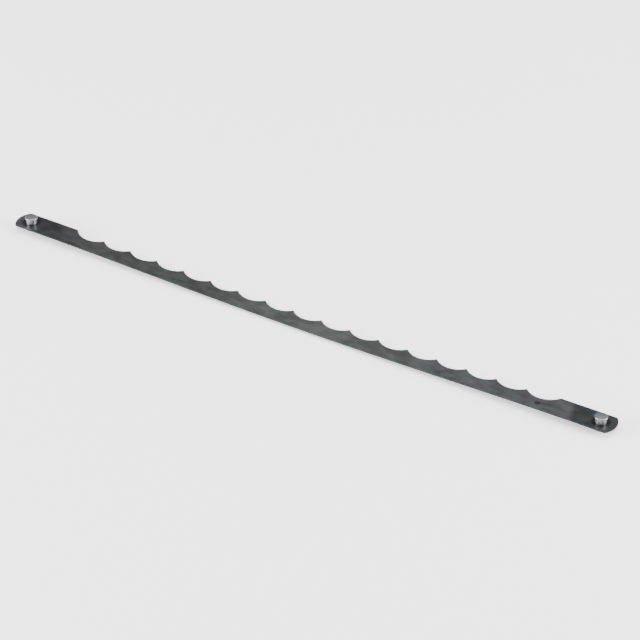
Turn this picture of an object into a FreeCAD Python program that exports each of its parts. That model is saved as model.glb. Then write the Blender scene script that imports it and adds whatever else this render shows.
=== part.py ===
import FreeCAD, Part
import math
import os

# A slicing blade: a thin steel strip with a scalloped cutting edge and a riveted, headed pin
# standing out of both faces at each end. Millimetres. X runs along the strip, the scallops face
# +Y, and Z = 0 is the plane that the two lower pin heads rest on.

# Strip
strip_width = 12.0
strip_thickness = 0.5
shank_length = 30.0        # plain stretch at each end, from the tip to the scallops' first half pitch
tip_crown = 2.4            # how far a rounded tip stands out beyond its two corners

# Scallops along the +Y edge, ground to a bevel from both faces
scallop_count = 17
scallop_pitch = 14.55
scallop_radius = 9.8
scallop_depth = 4.1        # from the shank's straight edge in to the bottom of a scallop
tip_width = 0.2            # flat left on each tip between two scallops
bevel_width = 0.5
edge_thickness = 0.1       # what the two bevels leave between them

# Pins
pin_inset = 7.15           # from the strip's tip to the pin's centre
pin_height = 2.9           # from a face of the strip to the outer face of the head on that side
pin_diameter = 5.0
head_overhang = 0.35       # how far a head stands out round its pin
head_thickness = 1.0
head_chamfer = 0.15

# Rivet joint of each pin: the upper stud's spigot runs through the strip and the lower collar
spigot_diameter = 3.0
hole_clearance = 0.05      # radial, between the spigot and the hole in the strip
flare_diameter = 3.9       # the spigot's end, spread into the collar's countersink
flare_depth = 0.5
flare_recess = 0.05        # keeps the spread end just inside the face that the blade rests on

# Bow: between its pins the strip hangs a little under its own weight
bow_sag = 1.95
level_land = 6.0           # level stretch from each pin's centre before the bow starts

# Round punch dimple in the upper face
dimple_diameter = 1.8
dimple_depth = 0.12
dimple_inset = 35.9        # from the +X tip
dimple_offset = 1.9        # from the strip's centre line towards the straight back edge

# Worked out from the sizes above
half_width = strip_width / 2
half_thickness = strip_thickness / 2
half_length = scallop_count * scallop_pitch / 2 + shank_length
pin_x = half_length - pin_inset
bow_half_span = pin_x - level_land
scallop_centre_y = half_width - scallop_depth + scallop_radius
first_scallop_x = -(scallop_count - 1) * scallop_pitch / 2
lower_face_z = pin_height
middle_z = lower_face_z + half_thickness
upper_face_z = lower_face_z + strip_thickness
pin_radius = pin_diameter / 2
head_radius = pin_radius + head_overhang
spigot_radius = spigot_diameter / 2
flare_radius = flare_diameter / 2

CUT_MARGIN = 1.0           # how far a cutting solid runs past the face that it cuts


def bow_drop(x):
    """How far the strip hangs below its level ends at x."""
    if abs(x) >= bow_half_span:
        return 0.0
    return bow_sag * (1 - (x / bow_half_span) ** 2) ** 2


def bow_angle(x):
    """Slope of the strip at x, in degrees, positive where it climbs towards +X."""
    if abs(x) >= bow_half_span:
        return 0.0
    share = x / bow_half_span
    rise = 4 * bow_sag * share * (1 - share ** 2) / bow_half_span
    return math.degrees(math.atan(rise))


def square_to_strip(x, y):
    """Placement whose origin is in the middle of the strip's thickness and whose Z is its normal."""
    place = FreeCAD.Vector(x, y, middle_z - bow_drop(x))
    turn = FreeCAD.Rotation(FreeCAD.Vector(0, 1, 0), -bow_angle(x))
    return FreeCAD.Placement(place, turn)


def bow_curve(z_level):
    """The bowed line at one face of the strip: bow_drop as the one quartic Bezier curve that it is."""
    dip = -bow_sag * 8 / 3
    shape = [(-1, 0), (-0.5, 0), (0, dip), (0.5, 0), (1, 0)]
    curve = Part.BezierCurve()
    curve.setPoles([FreeCAD.Vector(share * bow_half_span, 0, z_level + z) for share, z in shape])
    return curve.toShape()


def bowed_slab():
    """The strip's thickness and bow, longer and wider than its outline."""
    reach = half_length + CUT_MARGIN
    edges = []
    for z in (lower_face_z, upper_face_z):
        left = FreeCAD.Vector(-reach, 0, z)
        right = FreeCAD.Vector(reach, 0, z)
        edges.append(Part.makeLine(left, FreeCAD.Vector(-bow_half_span, 0, z)))
        edges.append(bow_curve(z))
        edges.append(Part.makeLine(FreeCAD.Vector(bow_half_span, 0, z), right))
    for x in (-reach, reach):
        edges.append(Part.makeLine(FreeCAD.Vector(x, 0, lower_face_z),
                                   FreeCAD.Vector(x, 0, upper_face_z)))
    side = Part.Face(Part.Wire(Part.sortEdges(edges)[0]))
    slab = side.extrude(FreeCAD.Vector(0, strip_width + 2 * CUT_MARGIN, 0))
    slab.translate(FreeCAD.Vector(0, -half_width - CUT_MARGIN, 0))
    return slab


def outline_prism():
    """The strip seen from above, before its scallops: straight edges and a shallow arc at each tip."""
    corner_x = half_length - tip_crown
    near_left = FreeCAD.Vector(-corner_x, -half_width, 0)
    near_right = FreeCAD.Vector(corner_x, -half_width, 0)
    far_right = FreeCAD.Vector(corner_x, half_width, 0)
    far_left = FreeCAD.Vector(-corner_x, half_width, 0)
    right_tip = FreeCAD.Vector(half_length, 0, 0)
    left_tip = FreeCAD.Vector(-half_length, 0, 0)
    outline = Part.Wire([
        Part.makeLine(near_left, near_right),
        Part.Arc(near_right, right_tip, far_right).toShape(),
        Part.makeLine(far_right, far_left),
        Part.Arc(far_left, left_tip, near_left).toShape(),
    ])
    height = strip_thickness + bow_sag + 2 * CUT_MARGIN
    prism = Part.Face(outline).extrude(FreeCAD.Vector(0, 0, height))
    prism.translate(FreeCAD.Vector(0, 0, lower_face_z - bow_sag - CUT_MARGIN))
    return prism


def turned(profile):
    """Solid turned about Z from a closed list of (radius, z) corners."""
    corners = [FreeCAD.Vector(radius, 0, z) for radius, z in profile]
    face = Part.Face(Part.makePolygon(corners + corners[:1]))
    return face.revolve(FreeCAD.Vector(0, 0, 0), FreeCAD.Vector(0, 0, 1), 360)


def scallop_cutter(x):
    """Grinding wheel for one scallop: narrowest at the cutting edge, wider at both faces."""
    half_edge = edge_thickness / 2
    bevel_rise = half_thickness - half_edge
    outer_z = half_thickness + CUT_MARGIN
    outer_radius = scallop_radius + bevel_width * (outer_z - half_edge) / bevel_rise
    cutter = turned([
        (0, -outer_z),
        (outer_radius, -outer_z),
        (scallop_radius, -half_edge),
        (scallop_radius, half_edge),
        (outer_radius, outer_z),
        (0, outer_z),
    ])
    cutter.Placement = square_to_strip(x, scallop_centre_y)
    return cutter


def scallop_cutters():
    return [scallop_cutter(first_scallop_x + step * scallop_pitch) for step in range(scallop_count)]


def tip_trimmer():
    """Block that blunts the tips between scallops, along the line where each is tip_width wide."""
    half_chord = (scallop_pitch - tip_width) / 2
    tip_y = scallop_centre_y - math.sqrt(scallop_radius ** 2 - half_chord ** 2)
    height = strip_thickness + bow_sag + 2 * CUT_MARGIN
    block = Part.makeBox(-2 * first_scallop_x, scallop_radius, height)
    block.translate(FreeCAD.Vector(first_scallop_x, tip_y, lower_face_z - bow_sag - CUT_MARGIN))
    return block


def pin_hole_cutter(x):
    radius = spigot_radius + hole_clearance
    hole = Part.makeCylinder(radius, strip_thickness + 2 * CUT_MARGIN)
    hole.translate(FreeCAD.Vector(x, 0, lower_face_z - CUT_MARGIN))
    return hole


def dimple_cutter():
    """Ball whose cap of the dimple's depth and diameter dips into the upper face."""
    rim_radius = dimple_diameter / 2
    ball_radius = (rim_radius ** 2 + dimple_depth ** 2) / (2 * dimple_depth)
    ball = Part.makeSphere(ball_radius)
    ball.translate(FreeCAD.Vector(0, 0, half_thickness - dimple_depth + ball_radius))
    ball.Placement = square_to_strip(half_length - dimple_inset, -dimple_offset).multiply(ball.Placement)
    return ball


def blade_strip():
    strip = bowed_slab().common(outline_prism())
    cutters = [tip_trimmer()] + scallop_cutters()
    cutters += [pin_hole_cutter(-pin_x), pin_hole_cutter(pin_x)]
    cutters.append(dimple_cutter())
    for cutter in cutters:
        strip = strip.cut(cutter)
    return strip


def pin_stud():
    """Upper half of a pin: head and body above the strip, spigot down through strip and collar."""
    top_z = upper_face_z + pin_height
    return turned([
        (0, top_z),
        (head_radius - head_chamfer, top_z),
        (head_radius, top_z - head_chamfer),
        (head_radius, top_z - head_thickness),
        (pin_radius, top_z - head_thickness),
        (pin_radius, upper_face_z),
        (spigot_radius, upper_face_z),
        (spigot_radius, flare_recess + flare_depth),
        (flare_radius, flare_recess),
        (0, flare_recess),
    ])


def pin_collar():
    """Lower half of a pin: a headed collar with a bore and countersink for the stud's spigot."""
    return turned([
        (spigot_radius, lower_face_z),
        (pin_radius, lower_face_z),
        (pin_radius, head_thickness),
        (head_radius, head_thickness),
        (head_radius, head_chamfer),
        (head_radius - head_chamfer, 0),
        (flare_radius, 0),
        (flare_radius, flare_recess),
        (spigot_radius, flare_recess + flare_depth),
    ])


def build():
    nodes = {"blade_strip": blade_strip()}
    for side, x in (("left", -pin_x), ("right", pin_x)):
        at_hole = FreeCAD.Vector(x, 0, 0)
        nodes[side + "_pin_stud"] = pin_stud().translated(at_hole)
        nodes[side + "_pin_collar"] = pin_collar().translated(at_hole)
    return nodes


os.makedirs("parts", exist_ok=True)
for name, shape in build().items():
    solid = shape.Solids[0]
    print(name, "solids", len(shape.Solids), "valid", shape.isValid(), "mm3", round(solid.Volume, 3))
    solid.exportStep("parts/" + name + ".step")
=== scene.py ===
import math

import bpy
from mathutils import Matrix, Vector


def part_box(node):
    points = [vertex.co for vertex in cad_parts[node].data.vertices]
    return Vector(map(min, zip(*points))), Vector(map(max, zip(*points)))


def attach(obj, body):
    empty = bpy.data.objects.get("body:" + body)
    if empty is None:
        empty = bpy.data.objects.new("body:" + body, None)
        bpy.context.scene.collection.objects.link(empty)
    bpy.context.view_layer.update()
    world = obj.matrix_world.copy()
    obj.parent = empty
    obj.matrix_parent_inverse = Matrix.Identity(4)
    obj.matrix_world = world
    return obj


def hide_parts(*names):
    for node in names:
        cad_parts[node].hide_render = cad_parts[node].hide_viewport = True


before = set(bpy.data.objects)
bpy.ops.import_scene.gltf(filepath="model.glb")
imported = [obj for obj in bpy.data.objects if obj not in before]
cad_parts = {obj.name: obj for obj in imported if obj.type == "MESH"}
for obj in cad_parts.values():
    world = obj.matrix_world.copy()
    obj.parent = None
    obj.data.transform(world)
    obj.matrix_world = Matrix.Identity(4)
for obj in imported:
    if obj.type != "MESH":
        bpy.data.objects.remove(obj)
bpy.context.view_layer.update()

MM = 0.001

# Strip: the overall sizes are read from the frame, and these are its own details, in metres
STRIP_THICKNESS = 0.5 * MM
TIP_CROWN = 2.4 * MM           # how far a rounded tip stands out beyond its two corners
SCALLOP_COUNT = 17
SCALLOP_PITCH = 14.55 * MM
SCALLOP_RADIUS = 9.8 * MM
SCALLOP_DEPTH = 4.1 * MM
TIP_WIDTH = 0.2 * MM           # flat left on each tip between two scallops
BEVEL_WIDTH = 0.5 * MM
EDGE_THICKNESS = 0.1 * MM
BOW_SAG = 1.95 * MM
LEVEL_LAND = 6.0 * MM          # level stretch from each pin's centre before the bow starts
COLUMN_WIDTH = 2.0 * MM        # length of strip between two cross lines of the mesh
RIM_BREAK = 0.06 * MM          # the deburred corner round the strip's outline
DIMPLE_DIAMETER = 1.8 * MM
DIMPLE_DEPTH = 0.12 * MM
DIMPLE_INSET = 35.9 * MM       # from the +X tip
DIMPLE_OFFSET = 1.9 * MM       # from the centre line towards the straight back edge
OXIDE_SKEW = 0.39              # how far the oxide's edge runs along the strip for its way across

# Tint of the tempered face along the strip: millimetres from the middle, and its colour
STRIP_TINTS = [(-153, "555756"), (-143, "3b3d3e"), (-130, "414343"), (-114, "505352"),
               (-90, "484b4a"), (-45, "4c4f4e"), (-20, "5b5e5d"), (18, "5b5e5d"), (45, "595c5b"),
               (125, "545657"), (132.6, "535554"), (134.0, "3d4042"), (143, "3e4143"),
               (153, "434647")]

# Pins
PIN_RADIUS = 2.5 * MM
HEAD_OVERHANG = 0.35 * MM
HEAD_THICKNESS = 1.0 * MM
HEAD_CHAMFER = 0.15 * MM       # on the face of a head that the blade rests on
RIM_ROUND = 0.45 * MM          # upper corner of a head
NECK_ROUND = 0.2 * MM          # lower corner of a head
SPIGOT_RADIUS = 1.5 * MM
HOLE_CLEARANCE = 0.05 * MM
FLARE_RADIUS = 1.95 * MM
FLARE_DEPTH = 0.5 * MM
FLARE_RECESS = 0.05 * MM

# How finely round shapes are cut
TIP_STEPS = 32                 # flats along the arc of each rounded tip
WHEEL_STEPS = 180              # flats round the grinding wheel
DRILL_STEPS = 48
PIN_STEPS = 96
CORNER_STEPS = 6
DIMPLE_SEGMENTS = 96
DIMPLE_RINGS = 64

CUT_MARGIN = 1.0 * MM          # how far a cutter reaches past the strip
MERGE_DISTANCE = 0.0005 * MM   # points closer than this are one point

# Faces are told apart by how steeply they look up or down
ROLLED_STEEPNESS = 0.97        # the strip's two rolled faces, bow included
SPREAD_END_STEEPNESS = 0.9     # the rivet's flat end, not the cone beside it

strip_high = Vector(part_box("blade_strip")[1])
half_length = strip_high.x
half_width = strip_high.y
upper_face_z = strip_high.z
lower_face_z = upper_face_z - STRIP_THICKNESS
middle_z = (upper_face_z + lower_face_z) / 2
scallop_centre_y = half_width - SCALLOP_DEPTH + SCALLOP_RADIUS
first_scallop_x = -(SCALLOP_COUNT - 1) * SCALLOP_PITCH / 2
dimple_centre = Vector((half_length - DIMPLE_INSET, -DIMPLE_OFFSET))


def pin_centre_x(side):
    low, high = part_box(side + "_pin_stud")
    return (low[0] + high[0]) / 2


pin_x = pin_centre_x("right")
head_top_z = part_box("right_pin_stud")[1][2]
bow_half_span = pin_x - LEVEL_LAND


# ---- Camera, light and floor ----

CAMERA_AZIMUTH = math.radians(31.73)
CAMERA_ELEVATION = math.radians(34.44)
CAMERA_DISTANCE = 1.2274        # metres from the point that it aims at
CAMERA_LENS = 157.3             # millimetres, on a sensor 36 mm wide
AIM = Vector((5.66 * MM, 6.29 * MM, 0))

WALL_STRENGTH = 0.45
CEILING_STRENGTH = 5.0
CEILING_EDGE = 0.58             # height on a dome of radius 1 at which the ceiling starts
CEILING_FULL = 0.95             # and at which it is fully bright
SOFTBOX_ELEVATION = 15          # degrees
SOFTBOX_DISTANCE = 1.4          # metres
SOFTBOX_SIZE = 0.7
SOFTBOX_POWER = 45              # watts
FLOOR_SIZE = 60                 # metres, so that its end is out of sight from above
FLOOR_GLOW = 0.6


def add_camera():
    data = bpy.data.cameras.new("Camera")
    data.lens = CAMERA_LENS
    data.clip_start = 10 * MM
    camera = bpy.data.objects.new("Camera", data)
    forward = Vector((-math.sin(CAMERA_AZIMUTH) * math.cos(CAMERA_ELEVATION),
                      math.cos(CAMERA_AZIMUTH) * math.cos(CAMERA_ELEVATION),
                      -math.sin(CAMERA_ELEVATION)))
    camera.location = AIM - CAMERA_DISTANCE * forward
    camera.rotation_euler = (math.pi / 2 - CAMERA_ELEVATION, 0, CAMERA_AZIMUTH)
    bpy.context.scene.collection.objects.link(camera)
    bpy.context.scene.camera = camera


add_camera()


def linear(hex_colour):
    """sRGB hex such as "8f9294" to linear RGBA."""
    channels = [int(hex_colour[i:i + 2], 16) / 255 for i in (0, 2, 4)]
    bent = [c / 12.92 if c <= 0.04045 else ((c + 0.055) / 1.055) ** 2.4 for c in channels]
    return (*bent, 1.0)


def add_softbox(name, azimuth):
    """Square soft light that faces the origin, placed by the direction that it shines from."""
    data = bpy.data.lights.new(name, "AREA")
    data.size = SOFTBOX_SIZE
    data.energy = SOFTBOX_POWER
    light = bpy.data.objects.new(name, data)
    a, e = math.radians(azimuth), math.radians(SOFTBOX_ELEVATION)
    light.location = SOFTBOX_DISTANCE * Vector((math.sin(a) * math.cos(e),
                                                -math.cos(a) * math.cos(e), math.sin(e)))
    light.rotation_euler = (-light.location).to_track_quat("-Z", "Y").to_euler()
    bpy.context.scene.collection.objects.link(light)


def add_world(colour, wall_strength, ceiling_strength):
    """A dim-walled studio under a broad bright ceiling, the same from every side."""
    world = bpy.data.worlds.new("Soft studio")
    world.use_nodes = True
    tree = world.node_tree
    direction = node(tree, "ShaderNodeTexCoord").outputs["Generated"]
    height = node(tree, "ShaderNodeSeparateXYZ", {"Vector": direction}).outputs["Z"]
    strength = node(tree, "ShaderNodeMapRange", {
        "Value": height, "From Min": CEILING_EDGE, "From Max": CEILING_FULL,
        "To Min": wall_strength, "To Max": ceiling_strength}, interpolation_type="SMOOTHSTEP")
    background = tree.nodes["Background"]
    background.inputs["Color"].default_value = colour
    tree.links.new(strength.outputs["Result"], background.inputs["Strength"])
    bpy.context.scene.world = world


def node(tree, kind, inputs=None, **settings):
    """Adds a node, sets its settings, and gives each named input a value or a link."""
    new = tree.nodes.new(kind)
    for key, value in settings.items():
        setattr(new, key, value)
    for name, value in (inputs or {}).items():
        if isinstance(value, bpy.types.NodeSocket):
            tree.links.new(value, new.inputs[name])
        else:
            new.inputs[name].default_value = value
    return new


add_world(linear("f4f5f5"), WALL_STRENGTH, CEILING_STRENGTH)
add_softbox("Left side", azimuth=-48)
add_softbox("Right side", azimuth=112)


# ---- Materials ----

WAVE_RADIANS_PER_UNIT = 20      # how far a wave texture at scale 1 turns in one unit of length
LEAST_ROUGHNESS = 0.29          # the strip showed specks at 0.26, so no finish goes that low
PAINTED_BODY_HIGHLIGHT = 3.0                   # painted highlight: how much brighter the pin bodies are painted than the heads


def blank_material(name):
    material = bpy.data.materials.new(name)
    material.use_nodes = True
    material.node_tree.nodes.clear()
    return material, material.node_tree


def finish_material(tree, shader):
    node(tree, "ShaderNodeOutputMaterial", {"Surface": shader.outputs["BSDF"]})


def set_stops(ramp, stops):
    """Gives a colour ramp its (position, hex colour) stops."""
    elements = ramp.color_ramp.elements
    while len(elements) < len(stops):
        elements.new(0.5)
    for element, (position, colour) in zip(elements, stops):
        element.position = position
        element.color = linear(colour)


def darkening(tree, place, spot_place, inner, outer, darkest):
    """1 away from a spot on the strip, falling to darkest within its inner radius."""
    away = node(tree, "ShaderNodeVectorMath", {0: place, 1: spot_place}, operation="DISTANCE")
    shade = node(tree, "ShaderNodeMapRange", {
        "Value": away.outputs["Value"], "From Min": inner, "From Max": outer,
        "To Min": darkest, "To Max": 1.0}, interpolation_type="SMOOTHSTEP")
    return shade.outputs["Result"]


def strip_steel():
    """Hardened and tempered carbon strip steel, cold rolled: a dull grey sheen, with fine lines along
    the rolling direction, darker and bluer oxide at the two ends, black in the dimple, and painted
    shade in a ring round each rivet."""
    material, tree = blank_material("Tempered strip steel")
    place = node(tree, "ShaderNodeTexCoord").outputs["Object"]
    parts = node(tree, "ShaderNodeSeparateXYZ", {"Vector": place})
    # The oxide's edge crosses the strip at a slight skew
    skewed = node(tree, "ShaderNodeMath", {0: parts.outputs["Y"], 1: OXIDE_SKEW,
                                           2: parts.outputs["X"]}, operation="MULTIPLY_ADD")
    along = node(tree, "ShaderNodeMapRange", {
        "Value": skewed.outputs["Value"], "From Min": -half_length, "From Max": half_length})
    tint = node(tree, "ShaderNodeValToRGB", {"Fac": along.outputs["Result"]})
    set_stops(tint, [((x * MM / half_length + 1) / 2, colour) for x, colour in STRIP_TINTS])
    # Rolling lines are about 0.05 mm apart; they are drawn 0.6 mm apart, the finest that shows
    line_length, line_spacing = 18 * MM, 0.6 * MM
    lines_place = node(tree, "ShaderNodeMapping", {
        "Vector": place, "Scale": (1 / line_length, 1 / line_spacing, 1 / line_spacing)})
    lines = node(tree, "ShaderNodeTexNoise", {
        "Vector": lines_place.outputs["Vector"], "Scale": 1.0, "Detail": 4.0, "Roughness": 0.65})
    # Oxide clouds left by the temper
    cloud_length, cloud_width = 7 * MM, 4 * MM
    clouds_place = node(tree, "ShaderNodeMapping", {
        "Vector": place, "Scale": (1 / cloud_length, 1 / cloud_width, 1 / cloud_width)})
    clouds = node(tree, "ShaderNodeTexNoise", {
        "Vector": clouds_place.outputs["Vector"], "Scale": 1.0, "Detail": 5.0, "Roughness": 0.6})
    shade = node(tree, "ShaderNodeMapRange", {
        "Value": lines.outputs["Fac"], "From Min": 0.3, "From Max": 0.7,
        "To Min": 0.87, "To Max": 1.13}).outputs["Result"]
    cloud_shade = node(tree, "ShaderNodeMapRange", {
        "Value": clouds.outputs["Fac"], "From Min": 0.3, "From Max": 0.7,
        "To Min": 0.86, "To Max": 1.14}).outputs["Result"]
    dimple_place = (*dimple_centre, upper_face_z)
    factors = [cloud_shade, darkening(tree, place, dimple_place, inner=0.8 * MM,
                                      outer=1.6 * MM, darkest=0.35)]
    # Painted shade: the face is darkened in a ring just outside each rivet's head
    for x in (-pin_x, pin_x):
        factors.append(darkening(tree, place, (x, 0, upper_face_z), inner=2.9 * MM,
                                 outer=5.0 * MM, darkest=0.3))
    for factor in factors:
        shade = node(tree, "ShaderNodeMath", {0: shade, 1: factor},
                     operation="MULTIPLY").outputs["Value"]
    colour = node(tree, "ShaderNodeVectorMath", {0: tint.outputs["Color"], 1: shade},
                  operation="MULTIPLY")
    rough = node(tree, "ShaderNodeMapRange", {
        "Value": clouds.outputs["Fac"], "From Min": 0.3, "From Max": 0.7,
        "To Min": LEAST_ROUGHNESS, "To Max": 0.42})
    bump = node(tree, "ShaderNodeBump", {
        "Height": lines.outputs["Fac"], "Strength": 0.25, "Distance": 0.006 * MM})
    shader = node(tree, "ShaderNodeBsdfPrincipled", {
        "Base Color": colour.outputs["Vector"], "Metallic": 1.0,
        "Roughness": rough.outputs["Result"], "Normal": bump.outputs["Normal"]})
    finish_material(tree, shader)
    return material


def slit_edge_steel():
    """The strip's slit edges, blacked by the same temper: dark and duller than the rolled faces, with
    the slitting knives' marks straight across."""
    material, tree = blank_material("Blacked slit edge")
    place = node(tree, "ShaderNodeTexCoord").outputs["Object"]
    # Knife marks are about 0.1 mm apart; they are drawn 0.5 mm apart to show
    mark_spacing, mark_length, mark_height = 0.5 * MM, 3 * MM, 1 * MM
    marks_place = node(tree, "ShaderNodeMapping", {
        "Vector": place, "Scale": (1 / mark_spacing, 1 / mark_length, 1 / mark_height)})
    marks = node(tree, "ShaderNodeTexNoise", {
        "Vector": marks_place.outputs["Vector"], "Scale": 1.0, "Detail": 3.0})
    tint = node(tree, "ShaderNodeValToRGB", {"Fac": marks.outputs["Fac"]})
    set_stops(tint, [(0.3, "2b2d2d"), (0.7, "3d4040")])
    shader = node(tree, "ShaderNodeBsdfPrincipled", {
        "Base Color": tint.outputs["Color"], "Metallic": 1.0, "Roughness": 0.5})
    finish_material(tree, shader)
    return material


def ground_edge_steel():
    """The same steel where a wheel has ground the scallops' bevels: bare, brighter metal, with grinding
    lines that run across the edge."""
    material, tree = blank_material("Ground bevel steel")
    place = node(tree, "ShaderNodeTexCoord").outputs["Object"]
    # Wheel grit leaves lines about 0.1 mm apart; they are drawn 0.3 mm apart to show
    line_spacing, line_length = 0.3 * MM, 4 * MM
    lines_place = node(tree, "ShaderNodeMapping", {
        "Vector": place, "Scale": (1 / line_spacing, 1 / line_length, 1 / line_length)})
    lines = node(tree, "ShaderNodeTexNoise", {
        "Vector": lines_place.outputs["Vector"], "Scale": 1.0, "Detail": 3.0})
    tint = node(tree, "ShaderNodeValToRGB", {"Fac": lines.outputs["Fac"]})
    set_stops(tint, [(0.3, "8f9394"), (0.7, "b4b8b8")])
    bump = node(tree, "ShaderNodeBump", {
        "Height": lines.outputs["Fac"], "Strength": 0.3, "Distance": 0.004 * MM})
    shader = node(tree, "ShaderNodeBsdfPrincipled", {
        "Base Color": tint.outputs["Color"], "Metallic": 1.0, "Roughness": 0.3,
        "Normal": bump.outputs["Normal"]})
    finish_material(tree, shader)
    return material


def turned_steel(side, centre_x):
    """Bright turned low-carbon steel: satin grey heads with the lathe tool's fine rings, and a painted
    highlight that makes the bodies much brighter between each head and the strip."""
    material, tree = blank_material("Turned bright steel, " + side + " pin")
    place = node(tree, "ShaderNodeTexCoord").outputs["Object"]
    centred = node(tree, "ShaderNodeMapping", {
        "Vector": place, "Location": (-centre_x, 0, 0)})
    # Tool feed is about 0.08 mm a turn; rings are drawn 0.3 mm apart to show
    ring_spacing = 0.3 * MM
    rings = node(tree, "ShaderNodeTexWave", {
        "Vector": centred.outputs["Vector"],
        "Scale": 2 * math.pi / (WAVE_RADIANS_PER_UNIT * ring_spacing),
        "Distortion": 0.6, "Detail": 2.0}, wave_type="RINGS", rings_direction="Z")
    tint = node(tree, "ShaderNodeValToRGB", {"Fac": rings.outputs["Fac"]})
    set_stops(tint, [(0.0, "6c6f70"), (1.0, "8e9192")])
    # Painted highlight: the body between the strip and each head, above and below, is painted brighter;
    # it fades from just short of the head to halfway up its rim
    height = node(tree, "ShaderNodeSeparateXYZ", {"Vector": place}).outputs["Z"]
    from_strip = node(tree, "ShaderNodeMath", {0: height, 1: middle_z}, operation="SUBTRACT")
    reach = node(tree, "ShaderNodeMath", {0: from_strip.outputs["Value"]}, operation="ABSOLUTE")
    head_reach = head_top_z - middle_z
    painted_highlight = node(tree, "ShaderNodeMapRange", {
        "Value": reach.outputs["Value"], "From Min": head_reach - 1.3 * HEAD_THICKNESS,
        "From Max": head_reach - 0.5 * HEAD_THICKNESS, "To Min": PAINTED_BODY_HIGHLIGHT, "To Max": 1.0})
    colour = node(tree, "ShaderNodeVectorMath", {0: tint.outputs["Color"],
                                                 1: painted_highlight.outputs["Result"]}, operation="MULTIPLY")
    handling = node(tree, "ShaderNodeTexNoise", {
        "Vector": centred.outputs["Vector"], "Scale": 1 / (0.8 * MM), "Detail": 4.0})
    rough = node(tree, "ShaderNodeMapRange", {
        "Value": handling.outputs["Fac"], "To Min": LEAST_ROUGHNESS, "To Max": 0.40})
    bump = node(tree, "ShaderNodeBump", {
        "Height": rings.outputs["Fac"], "Strength": 0.3, "Distance": 0.003 * MM})
    shader = node(tree, "ShaderNodeBsdfPrincipled", {
        "Base Color": colour.outputs["Vector"], "Metallic": 1.0,
        "Roughness": rough.outputs["Result"], "Normal": bump.outputs["Normal"]})
    finish_material(tree, shader)
    return material


def peened_steel():
    """The spigot's end after a punch has spread it: darker than the turned faces, dull, and pitted by
    the blows, which shows the rivet as a disc in the middle of the lower head."""
    material, tree = blank_material("Peened rivet end")
    place = node(tree, "ShaderNodeTexCoord").outputs["Object"]
    # Each blow leaves a pit about 0.5 mm across
    pits = node(tree, "ShaderNodeTexVoronoi", {"Vector": place, "Scale": 1 / (0.5 * MM)},
                feature="SMOOTH_F1")
    tint = node(tree, "ShaderNodeValToRGB", {"Fac": pits.outputs["Distance"]})
    set_stops(tint, [(0.1, "5f6263"), (0.6, "8a8d8e")])
    bump = node(tree, "ShaderNodeBump", {
        "Height": pits.outputs["Distance"], "Strength": 0.8, "Distance": 0.04 * MM})
    shader = node(tree, "ShaderNodeBsdfPrincipled", {
        "Base Color": tint.outputs["Color"], "Metallic": 1.0, "Roughness": 0.45,
        "Normal": bump.outputs["Normal"]})
    finish_material(tree, shader)
    return material


def backlit_acrylic():
    """Matt white acrylic sheet, lit from beneath as on a light table: pale, even and nearly shadowless,
    with a mottle too faint to notice."""
    material, tree = blank_material("Backlit white acrylic")
    place = node(tree, "ShaderNodeTexCoord").outputs["Object"]
    fibre = node(tree, "ShaderNodeTexNoise", {"Vector": place, "Scale": 1 / (2 * MM), "Detail": 3.0})
    tint = node(tree, "ShaderNodeValToRGB", {"Fac": fibre.outputs["Fac"]})
    set_stops(tint, [(0.3, "f6f6f6"), (0.7, "f9f9f9")])
    shader = node(tree, "ShaderNodeBsdfPrincipled", {"Base Color": tint.outputs["Color"],
                                                     "Roughness": 0.9,
                                                     "Emission Color": linear("fcfcfc"),
                                                     "Emission Strength": FLOOR_GLOW})
    finish_material(tree, shader)
    return material


# ---- Modelling tools ----

def deselect_all():
    bpy.ops.object.select_all(action="DESELECT")


def make_active(piece):
    deselect_all()
    piece.select_set(True)
    bpy.context.view_layer.objects.active = piece


def start_point(name, x, y, z):
    """A one-vertex mesh at a place, in edit mode, ready to be extruded."""
    deselect_all()
    bpy.ops.mesh.primitive_plane_add(size=MM, location=(x, y, z))
    piece = bpy.context.active_object
    piece.name = piece.data.name = name
    bpy.ops.object.mode_set(mode="EDIT")
    bpy.ops.mesh.merge(type="CENTER")
    return piece


def finish_mesh(piece):
    """Closes seams, faces everything outwards and puts the piece's place into its mesh."""
    bpy.ops.mesh.select_all(action="SELECT")
    bpy.ops.mesh.remove_doubles(threshold=MERGE_DISTANCE)
    bpy.ops.mesh.normals_make_consistent(inside=False)
    bpy.ops.object.mode_set(mode="OBJECT")
    make_active(piece)
    bpy.ops.object.transform_apply(location=True, rotation=True, scale=True)


def apply_modifier(piece, kind, **settings):
    make_active(piece)
    modifier = piece.modifiers.new(kind.title(), kind)
    for key, value in settings.items():
        setattr(modifier, key, value)
    bpy.ops.object.modifier_apply(modifier=modifier.name)


def turned(name, centre, corners, steps):
    """Spins a closed list of (radius, z) corners, which may start and end on the axis, into a solid."""
    first_radius, first_z = corners[0]
    piece = start_point(name, centre.x + first_radius, centre.y, centre.z + first_z)
    ring = corners[1:] if first_radius == 0 else corners[1:] + corners[:1]
    radius, z = first_radius, first_z
    for next_radius, next_z in ring:
        step = (next_radius - radius, 0, next_z - z)
        bpy.ops.mesh.extrude_region_move(TRANSFORM_OT_translate={"value": step})
        radius, z = next_radius, next_z
    bpy.ops.mesh.select_all(action="SELECT")
    bpy.ops.mesh.remove_doubles(threshold=MERGE_DISTANCE)
    bpy.ops.mesh.select_all(action="SELECT")
    bpy.ops.mesh.spin(steps=steps, angle=2 * math.pi, center=centre, axis=(0, 0, 1))
    finish_mesh(piece)
    return piece


def cut(piece, cutter):
    apply_modifier(piece, "BOOLEAN", operation="DIFFERENCE", object=cutter, solver="EXACT")


# ---- Blade strip ----

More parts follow.
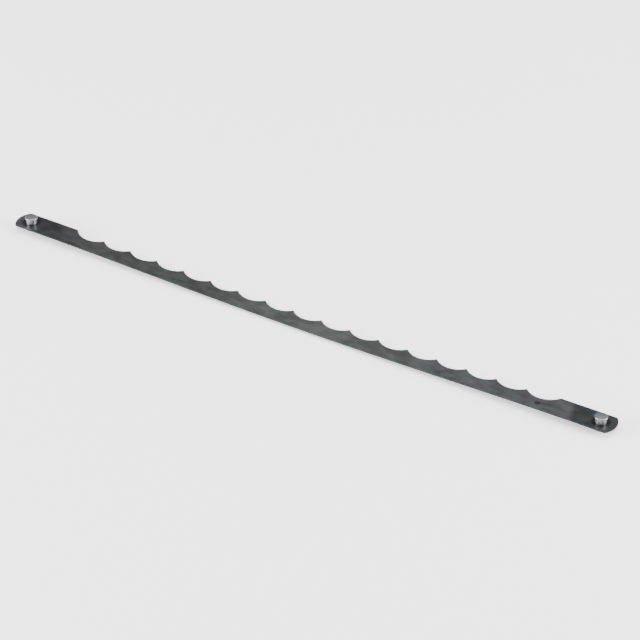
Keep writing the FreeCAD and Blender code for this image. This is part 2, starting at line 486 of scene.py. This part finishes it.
def strip_blank():
    """The flat strip before it is ground: straight sides, an arc at each tip and a broken rim."""
    corner_x = half_length - TIP_CROWN
    tip_radius = (half_width ** 2 + TIP_CROWN ** 2) / (2 * TIP_CROWN)
    tip_angle = 2 * math.asin(half_width / tip_radius)
    piece = start_point("Scalloped_blade", corner_x, -half_width, lower_face_z)
    for direction in (1, -1):
        arc_centre = (direction * (half_length - tip_radius), 0, lower_face_z)
        bpy.ops.mesh.spin(steps=TIP_STEPS, angle=tip_angle, center=arc_centre, axis=(0, 0, -1))
        if direction == 1:
            side = (-2 * corner_x, 0, 0)
            bpy.ops.mesh.extrude_region_move(TRANSFORM_OT_translate={"value": side})
    bpy.ops.mesh.select_all(action="SELECT")
    bpy.ops.mesh.remove_doubles(threshold=MERGE_DISTANCE)
    bpy.ops.mesh.select_all(action="SELECT")
    bpy.ops.mesh.edge_face_add()
    thickness = (0, 0, STRIP_THICKNESS)
    bpy.ops.mesh.extrude_region_move(TRANSFORM_OT_translate={"value": thickness})
    finish_mesh(piece)
    apply_modifier(piece, "BEVEL", width=RIM_BREAK, segments=2, limit_method="ANGLE",
                   angle_limit=math.radians(60))
    return piece


def grinding_wheel():
    """The wheel that cuts one scallop: narrowest at the cutting edge, wider at both faces."""
    half_edge = EDGE_THICKNESS / 2
    bevel_rise = STRIP_THICKNESS / 2 - half_edge
    outer_z = STRIP_THICKNESS / 2 + CUT_MARGIN
    outer_radius = SCALLOP_RADIUS + BEVEL_WIDTH * (outer_z - half_edge) / bevel_rise
    corners = [(0, -outer_z), (outer_radius, -outer_z), (SCALLOP_RADIUS, -half_edge),
               (SCALLOP_RADIUS, half_edge), (outer_radius, outer_z), (0, outer_z)]
    centre = Vector((first_scallop_x, scallop_centre_y, middle_z))
    return turned("Grinding wheel", centre, corners, WHEEL_STEPS)


def blunt_tips(piece):
    """Takes the points between the scallops down to a flat, before the scallops are cut."""
    half_chord = (SCALLOP_PITCH - TIP_WIDTH) / 2
    tip_y = scallop_centre_y - math.sqrt(SCALLOP_RADIUS ** 2 - half_chord ** 2)
    deselect_all()
    bpy.ops.mesh.primitive_cube_add(
        size=1, location=(0, tip_y + SCALLOP_RADIUS / 2, middle_z),
        scale=(-2 * first_scallop_x, SCALLOP_RADIUS, STRIP_THICKNESS + 2 * CUT_MARGIN))
    block = bpy.context.active_object
    cut(piece, block)
    bpy.data.objects.remove(block)


def grind_scallops(piece):
    wheel = grinding_wheel()
    for step in range(SCALLOP_COUNT):
        if step:
            wheel.data.transform(Matrix.Translation((SCALLOP_PITCH, 0, 0)))
        cut(piece, wheel)
    bpy.data.objects.remove(wheel)


def drill_pin_holes(piece):
    outer_z = STRIP_THICKNESS / 2 + CUT_MARGIN
    radius = SPIGOT_RADIUS + HOLE_CLEARANCE
    corners = [(0, -outer_z), (radius, -outer_z), (radius, outer_z), (0, outer_z)]
    for x in (-pin_x, pin_x):
        drill = turned("Drill", Vector((x, 0, middle_z)), corners, DRILL_STEPS)
        cut(piece, drill)
        bpy.data.objects.remove(drill)


def punch_dimple(piece):
    rim = DIMPLE_DIAMETER / 2
    ball_radius = (rim ** 2 + DIMPLE_DEPTH ** 2) / (2 * DIMPLE_DEPTH)
    deselect_all()
    bpy.ops.mesh.primitive_uv_sphere_add(
        segments=DIMPLE_SEGMENTS, ring_count=DIMPLE_RINGS, radius=ball_radius,
        location=(*dimple_centre, upper_face_z - DIMPLE_DEPTH + ball_radius))
    ball = bpy.context.active_object
    cut(piece, ball)
    bpy.data.objects.remove(ball)


def bow_strip(piece):
    """Crosses the strip with lines, then lets it hang by the bow's formula between its level ends."""
    make_active(piece)
    bpy.ops.object.mode_set(mode="EDIT")
    columns = int(2 * bow_half_span / COLUMN_WIDTH)
    for step in range(columns + 1):
        x = -bow_half_span + step * 2 * bow_half_span / columns
        bpy.ops.mesh.select_all(action="SELECT")
        bpy.ops.mesh.bisect(plane_co=(x, 0, 0), plane_no=(1, 0, 0))
    bpy.ops.object.mode_set(mode="OBJECT")
    hang = piece.vertex_groups.new(name="hang")
    for vertex in piece.data.vertices:
        share = min(1, abs(vertex.co.x) / bow_half_span)
        hang.add([vertex.index], (1 - share ** 2) ** 2, "REPLACE")
    apply_modifier(piece, "DISPLACE", direction="Z", mid_level=0.0, strength=-BOW_SAG,
                   vertex_group="hang")


def paint_faces(piece, *steels):
    """Rolled faces and the dimple take the first steel, ground bevels the second, slit edges the
    third."""
    for steel in steels:
        piece.data.materials.append(steel)
    for face in piece.data.polygons:
        rolled = abs(face.normal.z) > ROLLED_STEEPNESS
        dimpled = (face.center.xy - dimple_centre).length < DIMPLE_DIAMETER
        among_scallops = (abs(face.center.x) < -first_scallop_x + SCALLOP_PITCH
                          and 0 < face.center.y < half_width - 2 * RIM_BREAK)
        face.material_index = 0 if rolled or dimpled else 1 if among_scallops else 2


def build_strip():
    piece = strip_blank()
    blunt_tips(piece)
    grind_scallops(piece)
    drill_pin_holes(piece)
    punch_dimple(piece)
    bow_strip(piece)
    paint_faces(piece, strip_steel(), ground_edge_steel(), slit_edge_steel())
    make_active(piece)
    bpy.ops.object.shade_smooth_by_angle(angle=math.radians(12))
    place_piece(piece, "blade_strip")


def place_piece(piece, node_name):
    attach(piece, "root")
    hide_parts(node_name)


# ---- Pins ----

def round_corner(centre_radius, centre_z, size, start, end):
    """(radius, z) points of a rounded corner, from one angle above the horizontal to another."""
    angles = [math.radians(start + (end - start) * step / CORNER_STEPS)
              for step in range(CORNER_STEPS + 1)]
    return [(centre_radius + size * math.cos(a), centre_z + size * math.sin(a)) for a in angles]


def paint_spread_end(stud, peened):
    """Gives the flat end of the spigot, which is the stud's lowest face, its own finish."""
    stud.data.materials.append(peened)
    for face in stud.data.polygons:
        within_countersink = face.center.z < FLARE_RECESS + FLARE_DEPTH
        spread_end = within_countersink and face.normal.z < -SPREAD_END_STEEPNESS
        face.material_index = 1 if spread_end else 0


def build_pin(side, x, steel, peened):
    """Upper stud with its spigot spread in the collar's countersink, and the lower collar."""
    head_radius = PIN_RADIUS + HEAD_OVERHANG
    stud = turned(side.title() + "_pin_stud", Vector((x, 0, 0)), [
        (0, head_top_z),
        *round_corner(head_radius - RIM_ROUND, head_top_z - RIM_ROUND, RIM_ROUND, 90, 0),
        *round_corner(head_radius - NECK_ROUND, head_top_z - HEAD_THICKNESS + NECK_ROUND,
                      NECK_ROUND, 0, -90),
        (PIN_RADIUS, head_top_z - HEAD_THICKNESS),
        (PIN_RADIUS, upper_face_z),
        (SPIGOT_RADIUS, upper_face_z),
        (SPIGOT_RADIUS, FLARE_RECESS + FLARE_DEPTH),
        (FLARE_RADIUS, FLARE_RECESS),
        (0, FLARE_RECESS),
    ], PIN_STEPS)
    collar = turned(side.title() + "_pin_collar", Vector((x, 0, 0)), [
        (SPIGOT_RADIUS, lower_face_z),
        (PIN_RADIUS, lower_face_z),
        (PIN_RADIUS, HEAD_THICKNESS),
        (head_radius, HEAD_THICKNESS),
        (head_radius, HEAD_CHAMFER),
        (head_radius - HEAD_CHAMFER, 0),
        (FLARE_RADIUS, 0),
        (FLARE_RADIUS, FLARE_RECESS),
        (SPIGOT_RADIUS, FLARE_RECESS + FLARE_DEPTH),
    ], PIN_STEPS)
    for piece, node_name in ((stud, side + "_pin_stud"), (collar, side + "_pin_collar")):
        piece.data.materials.append(steel)
        if piece is stud:
            paint_spread_end(piece, peened)
        make_active(piece)
        bpy.ops.object.shade_smooth_by_angle(angle=math.radians(30))
        place_piece(piece, node_name)


def add_floor():
    deselect_all()
    bpy.ops.mesh.primitive_plane_add(size=FLOOR_SIZE, location=(0, 0, 0))
    floor = bpy.context.active_object
    floor.name = "Floor"
    floor.data.materials.append(backlit_acrylic())


build_strip()
peened = peened_steel()
for side in ("left", "right"):
    x = pin_centre_x(side)
    build_pin(side, x, turned_steel(side, x), peened)
add_floor()
